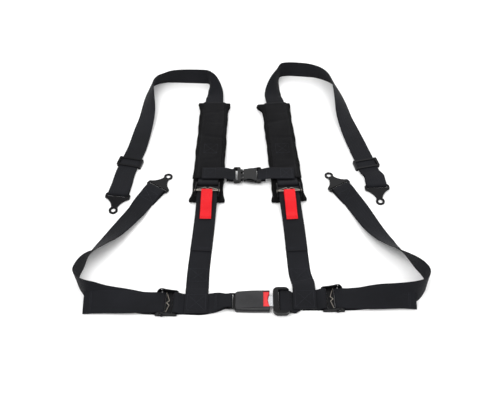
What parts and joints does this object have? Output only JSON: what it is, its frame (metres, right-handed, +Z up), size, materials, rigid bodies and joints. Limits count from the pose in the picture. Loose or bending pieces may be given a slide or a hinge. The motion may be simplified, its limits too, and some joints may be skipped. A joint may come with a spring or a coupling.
{
  "type": "racing harness",
  "caption": "Black webbing racing harness laid flat, with padded shoulder straps, chest clip, push-button lap buckle, sprung adjusters and steel anchor brackets.",
  "frame": {"origin": "middle of the laid-out harness, on the surface it lies on", "axes": "+X along the lap belt towards the tongue side, +Y from the lap belt up to the shoulder straps, +Z up out of the surface"},
  "size_m": [0.7697, 0.8236, 0.0502],
  "materials": {
    "black_webbing": "woven polyester webbing with a low sheen",
    "pad_fabric": "woven cover over soft foam",
    "red_webbing": "smooth woven tape",
    "black_steel": "satin black coating",
    "spring_steel": "plain wire and stamped steel",
    "bright_steel": "bright plating",
    "black_plastic": "fine moulded grain",
    "red_plastic": "smooth moulding"
  },
  "bodies": {
    "left_harness": {"left_shoulder_strap": "black_webbing", "left_lower_strap": "black_webbing", "left_lap_strap": "black_webbing", "left_inner_lap_strap": "black_webbing", "left_chest_strap": "black_webbing", "left_pad_cushion": "pad_fabric", "left_pad_cover": "pad_fabric", "left_shoulder_adjuster": "black_steel", "left_shoulder_spring": "spring_steel", "left_lap_adjuster": "black_steel", "left_lap_spring": "spring_steel", "left_tab_pin": "spring_steel", "buckle_lower_cover": "black_plastic", "buckle_upper_cover": "black_plastic", "chest_clip_plug": "black_plastic", "buckle_frame": "spring_steel", "latch_pin": "spring_steel", "ejector_spring": "spring_steel", "front_button_spring": "spring_steel", "rear_button_spring": "spring_steel"},
    "right_harness": {"right_shoulder_strap": "black_webbing", "right_lower_strap": "black_webbing", "right_lap_strap": "black_webbing", "right_inner_lap_strap": "black_webbing", "right_chest_strap": "black_webbing", "right_pad_cushion": "pad_fabric", "right_pad_cover": "pad_fabric", "right_shoulder_adjuster": "black_steel", "right_shoulder_spring": "spring_steel", "right_lap_adjuster": "black_steel", "right_lap_spring": "spring_steel", "right_tab_pin": "spring_steel", "tongue_plate": "bright_steel", "tongue_handle": "black_plastic", "chest_clip_socket": "black_plastic"},
    "left_slider": {"left_slider": "black_steel"},
    "right_slider": {"right_slider": "black_steel"},
    "left_pull_tab": {"left_pull_tab": "red_webbing"},
    "right_pull_tab": {"right_pull_tab": "red_webbing"},
    "release_button": {"release_button": "red_plastic"},
    "latch": {"latch": "spring_steel"},
    "ejector": {"ejector": "spring_steel"},
    "front_prong": {"front_prong": "black_plastic"},
    "rear_prong": {"rear_prong": "black_plastic"},
    "left_shoulder_bracket": {"left_shoulder_bracket": "black_steel"},
    "left_lap_bracket": {"left_lap_bracket": "black_steel"},
    "right_shoulder_bracket": {"right_shoulder_bracket": "black_steel"},
    "right_lap_bracket": {"right_lap_bracket": "black_steel"},
    "left_shoulder_lock_bar": {"left_shoulder_lock_bar": "black_steel"},
    "left_lap_lock_bar": {"left_lap_lock_bar": "black_steel"},
    "right_shoulder_lock_bar": {"right_shoulder_lock_bar": "black_steel"},
    "right_lap_lock_bar": {"right_lap_lock_bar": "black_steel"}
  },
  "joints": [
    {"name": "harness_release", "type": "slide", "parent": "left_harness", "child": "right_harness", "axis": [1, 0, 0], "range_m": [0, 0.06]},
    {"name": "left_shoulder_bracket_swivel", "type": "hinge", "parent": "left_harness", "child": "left_shoulder_bracket", "pos_m": [-0.326, -0.0735, 0.0054], "axis": [0.9925, -0.1219, 0], "range_deg": [-90, 0]},
    {"name": "right_shoulder_bracket_swivel", "type": "hinge", "parent": "right_harness", "child": "right_shoulder_bracket", "pos_m": [0.3175, -0.0445, 0.0054], "axis": [0.9981, 0.061, 0], "range_deg": [-90, 0]},
    {"name": "left_lap_bracket_swivel", "type": "hinge", "parent": "left_harness", "child": "left_lap_bracket", "pos_m": [-0.2345, -0.054, 0.0054], "axis": [-0.848, 0.5299, 0], "range_deg": [-90, 0]},
    {"name": "right_lap_bracket_swivel", "type": "hinge", "parent": "right_harness", "child": "right_lap_bracket", "pos_m": [0.227, -0.05, 0.0054], "axis": [-0.8572, -0.515, 0], "range_deg": [-90, 0]},
    {"name": "left_shoulder_lock_slide", "type": "slide", "parent": "left_harness", "child": "left_shoulder_lock_bar", "axis": [-0.0157, -0.9999, 0], "range_m": [0, 0.004], "stiffness_N_per_m": 600, "springref_m": -0.002},
    {"name": "left_pull_tab_lift", "type": "hinge", "parent": "left_harness", "child": "left_pull_tab", "pos_m": [-0.10521, -0.079, 0.0258], "axis": [-0.9999, 0.0157, 0], "range_deg": [0, 60]},
    {"name": "right_shoulder_lock_slide", "type": "slide", "parent": "right_harness", "child": "right_shoulder_lock_bar", "axis": [0.061, -0.9981, 0], "range_m": [0, 0.004], "stiffness_N_per_m": 600, "springref_m": -0.002},
    {"name": "right_pull_tab_lift", "type": "hinge", "parent": "right_harness", "child": "right_pull_tab", "pos_m": [0.09613, -0.08001, 0.0258], "axis": [-0.9981, -0.061, 0], "range_deg": [0, 60]},
    {"name": "left_lap_lock_slide", "type": "slide", "parent": "left_harness", "child": "left_lap_lock_bar", "axis": [-1, 0, 0], "range_m": [0, 0.004], "stiffness_N_per_m": 600, "springref_m": -0.002},
    {"name": "right_lap_lock_slide", "type": "slide", "parent": "right_harness", "child": "right_lap_lock_bar", "axis": [1, 0, 0], "range_m": [0, 0.004], "stiffness_N_per_m": 600, "springref_m": -0.002},
    {"name": "left_slider_slide", "type": "slide", "parent": "left_harness", "child": "left_slider", "axis": [-0.213, -0.977, 0], "range_m": [-0.012, 0.012]},
    {"name": "right_slider_slide", "type": "slide", "parent": "right_harness", "child": "right_slider", "axis": [0.2215, -0.9751, 0], "range_m": [-0.012, 0.012]},
    {"name": "button_press", "type": "slide", "parent": "left_harness", "child": "release_button", "axis": [-1, 0, 0], "range_m": [0, 0.005], "stiffness_N_per_m": 900, "springref_m": -0.002, "deforming": ["front_button_spring", "rear_button_spring"]},
    {"name": "latch_lift", "type": "hinge", "parent": "left_harness", "child": "latch", "pos_m": [-0.02, -0.383, 0.0139], "axis": [0, -1, 0], "range_deg": [0, 4.8]},
    {"name": "ejector_slide", "type": "slide", "parent": "left_harness", "child": "ejector", "axis": [1, 0, 0], "range_m": [0, 0.008], "deforming": ["ejector_spring"]},
    {"name": "front_prong_squeeze", "type": "hinge", "parent": "left_harness", "child": "front_prong", "pos_m": [-0.0206, -0.0285, 0.013], "axis": [0, 0, 1], "range_deg": [0, 7]},
    {"name": "rear_prong_squeeze", "type": "hinge", "parent": "left_harness", "child": "rear_prong", "pos_m": [-0.0206, -0.0035, 0.013], "axis": [0, 0, -1], "range_deg": [0, 7], "stiffness_Nm_per_rad": 0.3, "springref_deg": -2.86}
  ],
  "couplings": [
    {"joint": "latch_lift", "follows": "button_press", "rad_per_m": 16},
    {"joint": "ejector_slide", "follows": "harness_release", "ratio": 0.13333},
    {"joint": "front_prong_squeeze", "follows": "rear_prong_squeeze", "ratio": 1}
  ]
}
